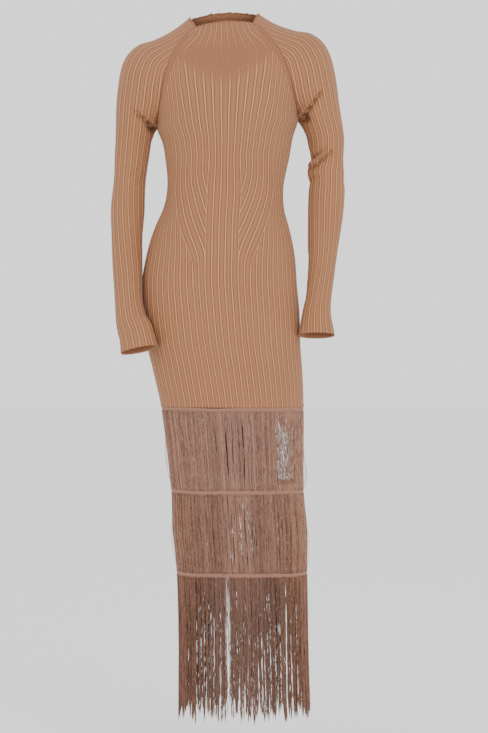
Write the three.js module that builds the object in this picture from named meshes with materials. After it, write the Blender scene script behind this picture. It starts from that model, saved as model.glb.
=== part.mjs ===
// A long ribbed knit dress with raglan sleeves and a high neck, standing open as if worn.
// Below the knit hang three tiers of fringe, each carried by a narrow header band.
// Millimetres, +Z up, front towards -Y. The origin is where the shoulders hold the dress.
import * as THREE from "three";

// Cloth: wall thicknesses and the open seam left between neighbouring pieces
const KNIT = 2.0;
const BAND = 2.4;
const FRINGE = 3.2;
const NECK_EDGING = 1.8;
const SEAM_GAP = 0.6;

// Heights of the pieces below the waist, measured from the shoulders
const KNIT_HEM = -724;
const BAND_HEIGHT = 9;
const SECOND_BAND = -887;
const THIRD_BAND = -1050;
const FRINGE_ENDS = -1350;
const NECK_EDGING_HEIGHT = 4;

// Fineness of the facets
const BODY_COLUMNS = 16;
const SLEEVE_COLUMNS = 14;
const RING_COLUMNS = 32;
const ARC_SAMPLES = 60;

const FINISHES = {
  knit: { color: 0xb98f72, roughness: 0.85 },
  edging: { color: 0xb08469, roughness: 0.85 },
  band: { color: 0xa2806c, roughness: 0.9 },
  fringe: { color: 0x8f6e5c, roughness: 0.8 },
};

const FULLNESS = 2.2; // exponent of the body's rounded sections, where 2 is an ellipse
const UNDERARM = -160; // height at which the sleeves leave the body
const ARM_TURN = 90; // length of sleeve over which its rings turn square to the arm
const ARM_STEP = 4; // height above and below a ring from which the arm's slope is taken
const EDGING_FOOT = 0.1; // share of the yoke from which the neck edging rises straight on

// The raglan yoke from the neck edge (share 0) to the underarm (share 1). Each row gives the
// raglan seam, the top line of the sleeve, how far the sleeve wraps round the arm in degrees,
// how deep it reaches in front and behind, and the middle of the front and of the back.
const yoke = smoothTable(
  ["share", "seamX", "seamFrontZ", "seamBackZ", "topX", "topY", "topZ", "wrap",
    "reachFront", "reachBack", "frontY", "frontZ", "backY", "backZ"],
  [
    [0.0, 57, 33, 64, 72, 8, 57, 45, 57, 63, -52, 37, 68, 72],
    [0.15, 80, 16, 40, 103, 8, 36, 52, 61, 66, -60, 18, 80, 44],
    [0.32, 102, -16, 8, 140, 8, 20, 64, 69, 70, -72, -16, 91, 8],
    [0.5, 117, -50, -32, 177, 8, 9, 77, 75, 73, -88, -56, 98, -36],
    [0.68, 127, -84, -76, 205, 6, -24, 92, 71, 68, -104, -94, 101, -80],
    [0.85, 135, -124, -120, 219, 3, -86, 120, 56, 54, -115, -130, 98, -124],
    [1.0, 141, -160, -160, 224, 0, -156, 180, 43, 43, -118, -160, 94, -160],
  ],
);

// Level sections of the body and of the skirt, from the underarm to the fringe ends
const trunk = smoothTable(
  ["height", "halfWidth", "front", "back"],
  [
    [-160, 141, 118, 94],
    [-190, 130, 117, 90],
    [-230, 123, 107, 84],
    [-270, 116.5, 95, 78],
    [-300, 116, 88, 76],
    [-330, 121, 88, 80],
    [-360, 132, 92, 88],
    [-390, 141, 96, 98],
    [-430, 149, 100, 110],
    [-480, 155, 102, 118],
    [-530, 157, 102, 118],
    [-590, 154, 102, 110],
    [-650, 149, 100, 102],
    [-724, 142, 97, 97],
    [-890, 132, 92, 92],
    [-970, 134, 90, 91],
    [-1054, 130, 88, 90],
    [-1200, 129.5, 88, 90],
    [-1350, 132, 88, 92],
  ],
);

// The stance: how far the body's middle stands to the side at each height
const sway = smoothTable(
  ["height", "shift"],
  [
    [80, -5],
    [0, -2],
    [-160, 3.5],
    [-230, 3],
    [-300, -2],
    [-360, -7.5],
    [-430, -11],
    [-490, -13],
    [-590, -6],
    [-650, 3],
    [-724, 13],
    [-890, 23],
    [-1054, 32],
    [-1350, 37],
  ],
);

// The stance: rise of a level line across the body, for each millimetre to the side
const lean = smoothTable(
  ["height", "slope"],
  [
    [80, 0.065],
    [-120, 0.065],
    [-200, 0.045],
    [-330, 0],
    [-1350, 0],
  ],
);

// The two sleeves below the underarm, each as sections along the hanging arm. The left one
// has a short fold in the crook of the elbow, which the rows near -254 make.
const SLEEVES = {
  sleeve_right: {
    side: -1,
    sections: smoothTable(
      ["height", "x", "y", "halfWidth", "halfDepth"],
      [
        [-177, -181.5, 2, 38.5, 42],
        [-192, -185, 2, 35.5, 39],
        [-210, -187, 2, 35, 37],
        [-270, -192.5, 2, 31.5, 35],
        [-330, -196, -2, 33, 34],
        [-390, -197.5, -12, 30.5, 32],
        [-450, -195.5, -26, 28.5, 29],
        [-510, -193, -44, 27, 27],
        [-550, -187, -57, 29, 27],
        [-580, -176.5, -66, 32.5, 28],
        [-611, -170, -72, 36, 29],
      ],
    ),
    rows: [-177, -184, -194, -210, -240, -270, -300, -330, -360, -390, -420, -450, -480, -510,
      -535, -560, -585, -611],
  },
  sleeve_left: {
    side: 1,
    sections: smoothTable(
      ["height", "x", "y", "halfWidth", "halfDepth"],
      [
        [-160, 191.5, 2, 40.5, 43],
        [-176, 197.5, 2, 37.5, 40],
        [-196, 200.5, 2, 36, 38],
        [-232, 202.5, 2, 32, 35],
        [-254, 199.5, 0, 36, 37],
        [-272, 201.5, 0, 33.5, 34],
        [-290, 201.5, 0, 35.5, 34],
        [-330, 199.5, -2, 35.5, 34],
        [-390, 194.5, -8, 30.5, 31],
        [-450, 190.5, -16, 26.5, 28],
        [-510, 183.5, -26, 25.5, 26],
        [-540, 180, -32, 28.5, 27],
        [-582, 180, -40, 36, 29],
      ],
    ),
    rows: [-160, -167, -178, -196, -214, -232, -243, -254, -264, -274, -300, -330, -360, -390,
      -420, -450, -480, -510, -535, -560, -582],
  },
};

const YOKE_SHARES = [0, 0.08, 0.16, 0.25, 0.34, 0.43, 0.52, 0.6, 0.68, 0.77, 0.86, 0.93, 1];
const TRUNK_HEIGHTS = [-167, -190, -215, -245, -275, -300, -330, -360, -395, -435, -485, -545,
  -605, -665, KNIT_HEM];

// Reads a short table at any value of its first column, along a smooth curve through its rows.
function smoothTable(columns, rows) {
  const order = [...rows].sort((a, b) => a[0] - b[0]);
  const slopeAt = (i, c) => {
    const before = order[Math.max(i - 1, 0)];
    const after = order[Math.min(i + 1, order.length - 1)];
    return (after[c] - before[c]) / (after[0] - before[0]);
  };
  return (at) => {
    const x = Math.min(Math.max(at, order[0][0]), order[order.length - 1][0]);
    let i = 0;
    while (i < order.length - 2 && x > order[i + 1][0]) i += 1;
    const [low, high] = [order[i], order[i + 1]];
    const span = high[0] - low[0];
    const t = (x - low[0]) / span;
    const read = { [columns[0]]: x };
    for (let c = 1; c < columns.length; c += 1) {
      read[columns[c]] =
        (2 * t ** 3 - 3 * t ** 2 + 1) * low[c] +
        (t ** 3 - 2 * t ** 2 + t) * span * slopeAt(i, c) +
        (3 * t ** 2 - 2 * t ** 3) * high[c] +
        (t ** 3 - t ** 2) * span * slopeAt(i + 1, c);
    }
    return read;
  };
}

// Puts a point of the upright, even-sided garment into the stance it is worn in.
function pose(x, y, z) {
  return new THREE.Vector3(x + sway(z).shift, y, z + lean(z).slope * x);
}

// Points spaced evenly along a line of points, leaving some length bare at each end.
function spacedEvenly(line, segments, trim = 0) {
  const along = [0];
  for (let i = 1; i < line.length; i += 1) {
    along.push(along[i - 1] + line[i].distanceTo(line[i - 1]));
  }
  const whole = along[along.length - 1];
  let i = 0;
  return Array.from({ length: segments + 1 }, (_, k) => {
    const at = trim + ((whole - 2 * trim) * k) / segments;
    while (i < line.length - 2 && along[i + 1] < at) i += 1;
    return line[i].clone().lerp(line[i + 1], (at - along[i]) / (along[i + 1] - along[i]));
  });
}

// A row across the front (facing -1) or the back (facing 1), from one seam to the other. The row
// is the stretch of a rounded section between the seams.
function bodyRow({ seamX, seamY, seamZ, middleY, middleZ, planeY }) {
  const turned = Math.max((seamY - planeY) / (middleY - planeY), 0);
  const seamAngle = Math.acos(turned ** (FULLNESS / 2));
  const halfWidth = seamX / Math.sin(seamAngle) ** (2 / FULLNESS);
  return Array.from({ length: ARC_SAMPLES + 1 }, (_, k) => {
    const angle = seamAngle * ((2 * k) / ARC_SAMPLES - 1);
    const x = Math.sign(angle) * halfWidth * Math.abs(Math.sin(angle)) ** (2 / FULLNESS);
    const y = planeY + (middleY - planeY) * Math.max(Math.cos(angle), 0) ** (2 / FULLNESS);
    return pose(x, y, middleZ + (seamZ - middleZ) * (x / seamX) ** 2);
  });
}

function yokeBodyRow(share, facing) {
  const r = yoke(share);
  const reach = facing < 0 ? -r.reachFront : r.reachBack;
  return bodyRow({
    seamX: r.seamX,
    seamY: r.topY + reach * Math.sin(THREE.MathUtils.degToRad(r.wrap)),
    seamZ: facing < 0 ? r.seamFrontZ : r.seamBackZ,
    middleY: facing < 0 ? r.frontY : r.backY,
    middleZ: facing < 0 ? r.frontZ : r.backZ,
    planeY: r.topY,
  });
}

function trunkRow(height, facing) {
  const r = trunk(height);
  return bodyRow({
    seamX: r.halfWidth,
    seamY: 0,
    seamZ: height,
    middleY: facing < 0 ? -r.front : r.back,
    middleZ: height,
    planeY: 0,
  });
}

// A sleeve row above the underarm: from the front raglan seam over the arm to the back one.
function yokeSleeveRow(share, side, gap) {
  const r = yoke(share);
  const wrap = THREE.MathUtils.degToRad(r.wrap);
  return Array.from({ length: ARC_SAMPLES + 1 }, (_, k) => {
    const angle = wrap * ((2 * k) / ARC_SAMPLES - 1);
    const toSeam = (1 - Math.cos(angle)) / (1 - Math.cos(wrap));
    const seamZ = angle < 0 ? r.seamFrontZ : r.seamBackZ;
    const reach = angle < 0 ? r.reachFront : r.reachBack;
    const x = r.topX + (r.seamX + gap - r.topX) * toSeam;
    return pose(side * x, r.topY + reach * Math.sin(angle), r.topZ + (seamZ - r.topZ) * toSeam);
  });
}

// A closed ring round the arm, square to the arm's line once it is clear of the underarm.
function armRing({ side, sections, rows }, height) {
  const r = sections(height);
  const [above, below] = [sections(height + ARM_STEP), sections(height - ARM_STEP)];
  const drop = above.height - below.height;
  const free = THREE.MathUtils.smoothstep(rows[0] - height, 0, ARM_TURN);
  const slopeX = THREE.MathUtils.lerp(lean(UNDERARM).slope, (below.x - above.x) / drop, free);
  const slopeY = ((below.y - above.y) / drop) * free;
  return Array.from({ length: ARC_SAMPLES + 1 }, (_, k) => {
    const angle = Math.PI * ((2 * k) / ARC_SAMPLES - 1);
    const [dx, dy] = [side * r.halfWidth * Math.cos(angle), r.halfDepth * Math.sin(angle)];
    return new THREE.Vector3(r.x + dx, r.y + dy, height + slopeX * dx + slopeY * dy);
  });
}

// The wall between a grid of outer points and the same grid moved inwards. Rows from closedFrom
// on are rings, whose last point is their first. An open row has in nextTo the nearest point of
// the piece at each of its ends, so that both pieces turn their edges alike at the seam.
function wall(rows, thickness, closedFrom, nextTo = []) {
  const last = rows[0].length - 1;
  const closed = (r) => r >= closedFrom;
  const beside = (r, c) => {
    if (closed(r)) return rows[r][(c + last) % last];
    if (c < 0) return nextTo[r][0];
    return c > last ? nextTo[r][1] : rows[r][c];
  };
  const inwards = (r, c) => {
    const across = beside(r, c + 1).clone().sub(beside(r, c - 1));
    const [up, down] = [Math.max(r - 1, 0), Math.min(r + 1, rows.length - 1)];
    return across.cross(rows[down][c].clone().sub(rows[up][c])).normalize();
  };
  const positions = [];
  for (const depth of [0, thickness])
    rows.forEach((row, r) =>
      row.forEach((point, c) => positions.push(point.clone().addScaledVector(inwards(r, c), depth))),
    );
  const inner = positions.length / 2;
  const at = (r, c, layer = 0) => layer + r * (last + 1) + (closed(r) ? c % last : c);
  const faces = [];
  const quad = (a, b, c, d) => faces.push(a, b, c, a, c, d);
  for (let r = 0; r < rows.length - 1; r += 1) {
    for (let c = 0; c < last; c += 1) {
      quad(at(r, c), at(r + 1, c), at(r + 1, c + 1), at(r, c + 1));
      quad(at(r, c, inner), at(r, c + 1, inner), at(r + 1, c + 1, inner), at(r + 1, c, inner));
    }
    if (closed(r)) continue;
    quad(at(r, 0), at(r, 0, inner), at(r + 1, 0, inner), at(r + 1, 0));
    quad(at(r, last), at(r + 1, last), at(r + 1, last, inner), at(r, last, inner));
  }
  const end = rows.length - 1;
  for (let c = 0; c < last; c += 1) {
    quad(at(0, c), at(0, c + 1), at(0, c + 1, inner), at(0, c, inner));
    quad(at(end, c), at(end, c, inner), at(end, c + 1, inner), at(end, c + 1));
  }
  return facingOut(positions, faces);
}

// A geometry of the points that the faces use, with the faces turned to point out.
function facingOut(positions, faces) {
  let volume = 0;
  for (let i = 0; i < faces.length; i += 3) {
    const [a, b, c] = [positions[faces[i]], positions[faces[i + 1]], positions[faces[i + 2]]];
    volume += a.dot(b.clone().cross(c));
  }
  if (volume < 0)
    for (let i = 0; i < faces.length; i += 3)
      [faces[i + 1], faces[i + 2]] = [faces[i + 2], faces[i + 1]];
  const geometry = new THREE.BufferGeometry();
  const numbers = positions.flatMap((point) => point.toArray());
  geometry.setAttribute("position", new THREE.Float32BufferAttribute(numbers, 3));
  geometry.setIndex(faces);
  return geometry;
}

function bodyRows(facing) {
  return [
    ...YOKE_SHARES.map((share) => [yokeBodyRow(share, facing), share < 1 ? 0 : SEAM_GAP / 2]),
    ...TRUNK_HEIGHTS.map((height) => [trunkRow(height, facing), SEAM_GAP / 2]),
  ].map(([line, trim]) => spacedEvenly(line, BODY_COLUMNS, trim));
}

function sleeveRows(arm) {
  return [
    ...YOKE_SHARES.map((share) => yokeSleeveRow(share, arm.side, SEAM_GAP)),
    ...arm.rows.map((height) => armRing(arm, height)),
  ].map((line) => spacedEvenly(line, SLEEVE_COLUMNS));
}

// The front or the back, running round the body the same way as the other one does. Below the
// underarm they meet each other, above it they meet the sleeves.
function bodyPanel(facing, own, other, sleeves) {
  const turn = (row) => (facing < 0 ? row : [...row].reverse());
  const nextTo = own.map((_, r) => {
    const end = facing < 0 ? 1 : SLEEVE_COLUMNS - 1;
    const ends = YOKE_SHARES[r] < 1
      ? sleeves.map((rows) => rows[r][end])
      : [other[r][1], other[r][BODY_COLUMNS - 1]];
    return turn(ends);
  });
  return wall(own.map(turn), KNIT, own.length, nextTo);
}

// A sleeve, split along its top into an open front and back edge down to the underarm.
function sleeve(side, own, front, back) {
  const turn = (row) => (side > 0 ? row : [...row].reverse());
  const end = side > 0 ? BODY_COLUMNS - 1 : 1;
  const nextTo = own.map((_, r) => turn([front[r]?.[end], back[r]?.[end]]));
  return wall(own.map(turn), KNIT, YOKE_SHARES.length - 1, nextTo);
}

// A tube all round the body through the sections at the given heights.
function bodyTube(heights, thickness) {
  const rows = heights.map((height) => {
    const round = [...trunkRow(height, -1), ...trunkRow(height, 1).reverse().slice(1)];
    return spacedEvenly(round, RING_COLUMNS);
  });
  return wall(rows, thickness, 0);
}

// The rolled edging that stands on the neck edge of all four knit pieces.
function neckEdging() {
  const ring = (share) => [
    ...yokeBodyRow(share, -1),
    ...yokeSleeveRow(share, 1, 0).slice(1),
    ...yokeBodyRow(share, 1).reverse().slice(1),
    ...yokeSleeveRow(share, -1, 0).reverse().slice(1),
  ];
  const [edge, lower] = [0, EDGING_FOOT].map((share) => spacedEvenly(ring(share), RING_COLUMNS));
  const raised = (by) =>
    edge.map((point, k) => {
      const up = point.clone().sub(lower[k]).normalize();
      return point.clone().addScaledVector(up, by);
    });
  return wall([raised(NECK_EDGING_HEIGHT), raised(SEAM_GAP)], NECK_EDGING, 0);
}

const dress = new THREE.Group();

function add(name, geometry, finish) {
  const mesh = new THREE.Mesh(geometry, new THREE.MeshStandardMaterial(finish));
  mesh.name = name;
  dress.add(mesh);
}

const [front, back] = [bodyRows(-1), bodyRows(1)];
const sleeves = [SLEEVES.sleeve_right, SLEEVES.sleeve_left].map(sleeveRows);
add("front", bodyPanel(-1, front, back, sleeves), FINISHES.knit);
add("back", bodyPanel(1, back, front, sleeves), FINISHES.knit);
add("sleeve_right", sleeve(-1, sleeves[0], front, back), FINISHES.knit);
add("sleeve_left", sleeve(1, sleeves[1], front, back), FINISHES.knit);
add("neck_edging", neckEdging(), FINISHES.edging);

const TIERS = [
  { band: KNIT_HEM, ends: SECOND_BAND, between: [-800] },
  { band: SECOND_BAND, ends: THIRD_BAND, between: [-970] },
  { band: THIRD_BAND, ends: FRINGE_ENDS, between: [-1200] },
];
TIERS.forEach(({ band, ends, between }, i) => {
  const bandFoot = band - BAND_HEIGHT;
  add(`band_${i + 1}`, bodyTube([band - SEAM_GAP, bandFoot], BAND), FINISHES.band);
  add(`fringe_${i + 1}`, bodyTube([bandFoot - SEAM_GAP, ...between, ends], FRINGE), FINISHES.fringe);
});

export default dress;
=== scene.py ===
"""A long ribbed knit dress with raglan sleeves, a high neck and three tiers of fringe, worn open."""

import logging
import math
from dataclasses import dataclass
from enum import Enum

import bmesh
import bpy
import numpy as np
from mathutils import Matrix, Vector


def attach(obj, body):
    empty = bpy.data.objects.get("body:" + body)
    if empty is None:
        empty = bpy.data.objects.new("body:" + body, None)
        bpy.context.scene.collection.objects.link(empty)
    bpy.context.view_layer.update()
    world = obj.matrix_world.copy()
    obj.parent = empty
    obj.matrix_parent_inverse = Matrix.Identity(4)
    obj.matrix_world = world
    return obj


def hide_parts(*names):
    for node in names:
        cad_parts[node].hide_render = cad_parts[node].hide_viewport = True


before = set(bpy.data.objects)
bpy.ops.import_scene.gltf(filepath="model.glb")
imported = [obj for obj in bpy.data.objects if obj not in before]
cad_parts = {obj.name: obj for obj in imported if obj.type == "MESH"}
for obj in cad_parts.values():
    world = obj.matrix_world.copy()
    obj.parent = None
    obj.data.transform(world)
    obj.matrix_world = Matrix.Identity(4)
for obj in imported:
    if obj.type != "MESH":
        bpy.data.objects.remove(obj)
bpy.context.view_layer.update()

LOG = logging.getLogger("dress")
MM = 0.001
BODY = "root"
LINE_SAMPLES = 241  # points along each line across the cloth before it is divided evenly
CLOTH_WALL = 1.7 * MM
SEAM_TRIM = 0.12  # mm of bare seam kept at each edge of a panel
SEAM_DIPS = (0.2, 0.1)  # mm by which the first two lines beside a seam sink
YOKE_LEAN = 0.065  # rise of the yoke towards the left
UNDERARM = -160.0  # height at which the yoke ends, in mm


class Facing(Enum):
    """Which way a body panel looks."""

    FRONT = -1
    BACK = 1


class Side(Enum):
    """The wearer's side that a sleeve is on, as the sign of its X."""

    RIGHT = -1
    LEFT = 1


def smooth_step(low: float, high: float, value: np.ndarray) -> np.ndarray:
    """Rise smoothly from 0 to 1.

    Args:
        low: Value at which the rise starts.
        high: Value at which it ends. It may be below low, for a fall.
        value: Where to read it.

    Returns:
        The share of the rise at each value.
    """
    t = np.clip((value - low) / (high - low), 0.0, 1.0)
    return t * t * (3.0 - 2.0 * t)


def lengths_along(line: np.ndarray) -> np.ndarray:
    """Measure a line of points.

    Args:
        line: Points, one a row.

    Returns:
        The length from the first point to each point.
    """
    return np.concatenate([[0.0], np.cumsum(np.linalg.norm(np.diff(line, axis=0), axis=1))])


def points_at(line: np.ndarray, lengths: np.ndarray) -> np.ndarray:
    """Find the points of a line at some lengths along it.

    Args:
        line: Points, one a row.
        lengths: Lengths from the line's start.

    Returns:
        A point for each length.
    """
    whole = lengths_along(line)
    return np.stack([np.interp(lengths, whole, line[:, k]) for k in range(3)], axis=1)


def divided_evenly(line: np.ndarray, number: int) -> np.ndarray:
    """Divide a closed line into equal steps.

    Args:
        line: Points, one a row, of which the last meets the first.
        number: How many steps.

    Returns:
        The point at the start of each step.
    """
    return points_at(line, np.linspace(0, lengths_along(line)[-1], number + 1)[:-1])


def level_outwards(ring: np.ndarray) -> np.ndarray:
    """Find the level outward directions of a ring.

    Args:
        ring: Its points, one a row.

    Returns:
        A unit vector for each point.
    """
    along = np.roll(ring, -1, axis=0) - np.roll(ring, 1, axis=0)
    out = np.stack([along[:, 1], -along[:, 0], np.zeros(len(ring))], axis=1)
    out /= np.linalg.norm(out, axis=1, keepdims=True)
    return -out if np.sum(out * (ring - ring.mean(axis=0))) < 0 else out


def sink_seams(push: np.ndarray) -> None:
    """Sink the cloth a little along the seams at both ends of some rows.

    Args:
        push: How far the cloth is pushed outwards, rows by columns, changed in place.
    """
    for column, dip in enumerate(SEAM_DIPS):
        push[:, [column, -1 - column]] -= dip


@dataclass(frozen=True)
class SmoothTable:
    """A short table that is read along a smooth curve through its rows."""

    columns: tuple[str, ...]
    rows: tuple[tuple[float, ...], ...]

    def at(self, value: float | np.ndarray) -> dict[str, np.ndarray]:
        """Read every column.

        Args:
            value: Values of the first column, held to the table's range.

        Returns:
            Each column's name with its values.
        """
        order = np.array(sorted(self.rows), float)
        x = order[:, 0]
        last = len(x) - 1
        before = np.maximum(np.arange(len(x)) - 1, 0)
        after = np.minimum(np.arange(len(x)) + 1, last)
        slope = (order[after] - order[before]) / (x[after] - x[before])[:, None]
        at = np.clip(np.asarray(value, float), x[0], x[-1])
        i = np.clip(np.searchsorted(x, at) - 1, 0, last - 1)
        span = (x[i + 1] - x[i])[..., None]
        t = (at - x[i])[..., None] / span
        read = (
            (2 * t**3 - 3 * t**2 + 1) * order[i]
            + (t**3 - 2 * t**2 + t) * span * slope[i]
            + (3 * t**2 - 2 * t**3) * order[i + 1]
            + (t**3 - t**2) * span * slope[i + 1]
        )
        return {name: read[..., k] for k, name in enumerate(self.columns)}

    def row(self, value: float) -> dict[str, float]:
        """Read every column at a single value of the first."""
        return {name: float(read) for name, read in self.at(value).items()}


@dataclass(frozen=True)
class WornForm:
    """The form of the garment, in millimetres: yoke, body, stance and sleeves."""

    fullness: float = 2.2
    yoke: SmoothTable = SmoothTable(
        ("share", "seam_x", "seam_front_z", "seam_back_z", "top_x", "top_y", "top_z", "wrap",
         "reach_front", "reach_back", "front_y", "front_z", "back_y", "back_z"),
        (
            (0.0, 57, 33, 64, 72, 8, 57, 45, 57, 63, -52, 37, 68, 72),
            (0.15, 80, 16, 40, 103, 8, 36, 52, 61, 66, -60, 18, 80, 44),
            (0.32, 102, -16, 8, 140, 8, 20, 64, 69, 70, -72, -16, 91, 8),
            (0.5, 117, -50, -32, 177, 8, 9, 77, 75, 73, -88, -56, 98, -36),
            (0.68, 127, -84, -76, 205, 6, -24, 92, 71, 68, -104, -94, 101, -80),
            (0.85, 135, -124, -120, 219, 3, -86, 120, 56, 54, -115, -130, 98, -124),
            (1.0, 141, -160, -160, 224, 0, -156, 180, 43, 43, -118, -160, 94, -160),
        ),
    )
    trunk: SmoothTable = SmoothTable(
        ("height", "half_width", "front", "back"),
        (
            (-160, 141, 118, 94), (-190, 130, 117, 90), (-230, 123, 107, 84), (-270, 116.5, 95, 78),
            (-300, 116, 88, 76), (-330, 121, 88, 80), (-360, 132, 92, 88), (-390, 141, 96, 98),
            (-430, 149, 100, 110), (-480, 155, 102, 118), (-530, 157, 102, 118), (-590, 154, 102, 110),
            (-650, 149, 100, 102), (-724, 142, 97, 97), (-890, 132, 92, 92), (-970, 134, 90, 91),
            (-1054, 130, 88, 90), (-1200, 129.5, 88, 90), (-1350, 132, 88, 92),
        ),
    )
    sway: SmoothTable = SmoothTable(
        ("height", "shift"),
        (
            (80, -5), (0, -2), (-160, 3.5), (-230, 3), (-300, -2), (-360, -7.5), (-430, -11),
            (-490, -13), (-590, -6), (-650, 3), (-724, 13), (-890, 23), (-1054, 32), (-1350, 37),
        ),
    )
    lean: SmoothTable = SmoothTable(
        ("height", "slope"), ((80, YOKE_LEAN), (-120, YOKE_LEAN), (-200, 0.045), (-330, 0), (-1350, 0))
    )

    def pose(self, x: np.ndarray, y: np.ndarray, z: np.ndarray) -> np.ndarray:
        """Put points of the upright, even-sided garment into the stance it is worn in.

        Args:
            x: Distances to the side.
            y: Depths.
            z: Heights.

        Returns:
            The points, one a row.
        """
        shift = self.sway.at(z)["shift"]
        slope = self.lean.at(z)["slope"]
        return np.stack([x + shift, y, z + slope * x], axis=-1)

    def body_line(
        self, seam: tuple[float, float, float], middle: tuple[float, float], plane_y: float
    ) -> tuple[np.ndarray, np.ndarray]:
        """Trace a row of the front or back from seam to seam.

        Args:
            seam: The right-hand seam point before the pose.
            middle: Depth and height of the row's middle.
            plane_y: Depth of the section's widest place.

        Returns:
            The posed points, and their distances to the side before the pose.
        """
        turned = max((seam[1] - plane_y) / (middle[0] - plane_y), 0.0)
        seam_angle = math.acos(turned ** (self.fullness / 2))
        half = seam[0] / math.sin(seam_angle) ** (2 / self.fullness)
        angle = seam_angle * np.linspace(-1, 1, LINE_SAMPLES)
        x = np.sign(angle) * half * np.abs(np.sin(angle)) ** (2 / self.fullness)
        y = plane_y + (middle[0] - plane_y) * np.maximum(np.cos(angle), 0) ** (2 / self.fullness)
        return self.pose(x, y, middle[1] + (seam[2] - middle[1]) * (x / seam[0]) ** 2), x

    def yoke_body_line(self, share: float, facing: Facing) -> tuple[np.ndarray, np.ndarray]:
        """Trace a row of the yoke's front or back.

        Args:
            share: Share of the way from the neck edge to the underarm.
            facing: The panel.

        Returns:
            The posed points, and their distances to the side before the pose.
        """
        r = self.yoke.row(share)
        front = facing is Facing.FRONT
        reach = -r["reach_front"] if front else r["reach_back"]
        seam_y = r["top_y"] + reach * math.sin(math.radians(r["wrap"]))
        seam_z = r["seam_front_z"] if front else r["seam_back_z"]
        middle = (r["front_y"], r["front_z"]) if front else (r["back_y"], r["back_z"])
        return self.body_line((r["seam_x"], seam_y, seam_z), middle, r["top_y"])

    def trunk_line(self, height: float, facing: Facing) -> tuple[np.ndarray, np.ndarray]:
        """Trace a level row of the body's front or back.

        Args:
            height: Height of the row.
            facing: The panel.

        Returns:
            The posed points, and their distances to the side before the pose.
        """
        r = self.trunk.row(height)
        depth = -r["front"] if facing is Facing.FRONT else r["back"]
        return self.body_line((r["half_width"], 0.0, height), (depth, height), 0.0)

    def ring(self, height: float) -> np.ndarray:
        """Trace the whole body at one height, starting and ending at the right side seam."""
        front, back = (self.trunk_line(height, facing)[0] for facing in Facing)
        return np.concatenate([front, back[::-1][1:]])

    def yoke_sleeve_line(self, share: float, side: Side) -> np.ndarray:
        """Trace a row of a sleeve from the front raglan seam over the arm to the back one.

        Args:
            share: Share of the way from the neck edge to the underarm.
            side: The sleeve.

        Returns:
            The posed points.
        """
        r = self.yoke.row(share)
        wrap = math.radians(r["wrap"])
        angle = wrap * np.linspace(-1, 1, LINE_SAMPLES)
        to_seam = (1 - np.cos(angle)) / (1 - math.cos(wrap))
        seam_z = np.where(angle < 0, r["seam_front_z"], r["seam_back_z"])
        reach = np.where(angle < 0, r["reach_front"], r["reach_back"])
        x = side.value * (r["top_x"] + (r["seam_x"] - r["top_x"]) * to_seam)
        y = r["top_y"] + reach * np.sin(angle)
        return self.pose(x, y, r["top_z"] + (seam_z - r["top_z"]) * to_seam)


ARMS = {
    Side.RIGHT: SmoothTable(
        ("height", "x", "y", "half_width", "half_depth"),
        (
            (-177, -181.5, 2, 38.5, 42), (-192, -185, 2, 35.5, 39), (-210, -187, 2, 35, 37),
            (-270, -192.5, 2, 31.5, 35), (-330, -196, -2, 33, 34), (-390, -197.5, -12, 30.5, 32),
            (-450, -195.5, -26, 28.5, 29), (-510, -193, -44, 27, 27), (-550, -187, -57, 29, 27),
            (-580, -176.5, -66, 32.5, 28), (-611, -170, -72, 36, 29),
        ),
    ),
    Side.LEFT: SmoothTable(
        ("height", "x", "y", "half_width", "half_depth"),
        (
            (-160, 191.5, 2, 40.5, 43), (-176, 197.5, 2, 37.5, 40), (-196, 200.5, 2, 36, 38),
            (-232, 202.5, 2, 32, 35), (-254, 199.5, 0, 36, 37), (-272, 201.5, 0, 33.5, 34),
            (-290, 201.5, 0, 35.5, 34), (-330, 199.5, -2, 35.5, 34), (-390, 194.5, -8, 30.5, 31),
            (-450, 190.5, -16, 26.5, 28), (-510, 183.5, -26, 25.5, 26), (-540, 180, -32, 28.5, 27),
            (-582, 180, -40, 36, 29),
        ),
    ),
}


@dataclass(frozen=True)
class Fold:
    """One soft fold of the cloth, a ridge with a groove beside it, in millimetres as seen from the front.

    The groove lies on the left of the line from start to end where its offset is positive. It is
    steep on the ridge's side and runs out softly on the other. The fades are the shares of the line
    over which the fold comes and goes.
    """

    start: tuple[float, float]
    end: tuple[float, float]
    lift: float
    groove: float
    offset: float
    lift_width: float = 3.0
    steep: float = 2.2
    soft: float = 9.0
    deepen: float = 0.0
    fades: tuple[float, float] = (0.25, 0.25)
    facing: Facing = Facing.FRONT

    def push(self, points: np.ndarray, outwards: np.ndarray) -> np.ndarray:
        """Work out how far the fold pushes the cloth.

        Args:
            points: Points of the cloth in millimetres.
            outwards: Their outward directions.

        Returns:
            The push along each direction, in millimetres.
        """
        start, along = np.array(self.start), np.subtract(self.end, self.start)
        reach = np.linalg.norm(along)
        along = along / reach
        place = points[..., [0, 2]] - start
        share = (place @ along) / reach
        across = place @ np.array([-along[1], along[0]])
        shown = smooth_step(-0.05, 0.35, self.facing.value * outwards[..., 1])
        fade_in, fade_out = self.fades
        taper = smooth_step(-0.02, fade_in, share) * (1 - smooth_step(1 - fade_out, 1.02, share))
        beyond = (across - self.offset) * np.sign(self.offset)
        width = np.where(beyond > 0, self.soft, self.steep)
        trough = self.groove * (1 + self.deepen * np.clip(share, 0, 1)) * np.exp(-((beyond / width) ** 2))
        ridge = self.lift * np.exp(-((across / self.lift_width) ** 2))
        return (ridge - trough) * taper * shown


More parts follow.
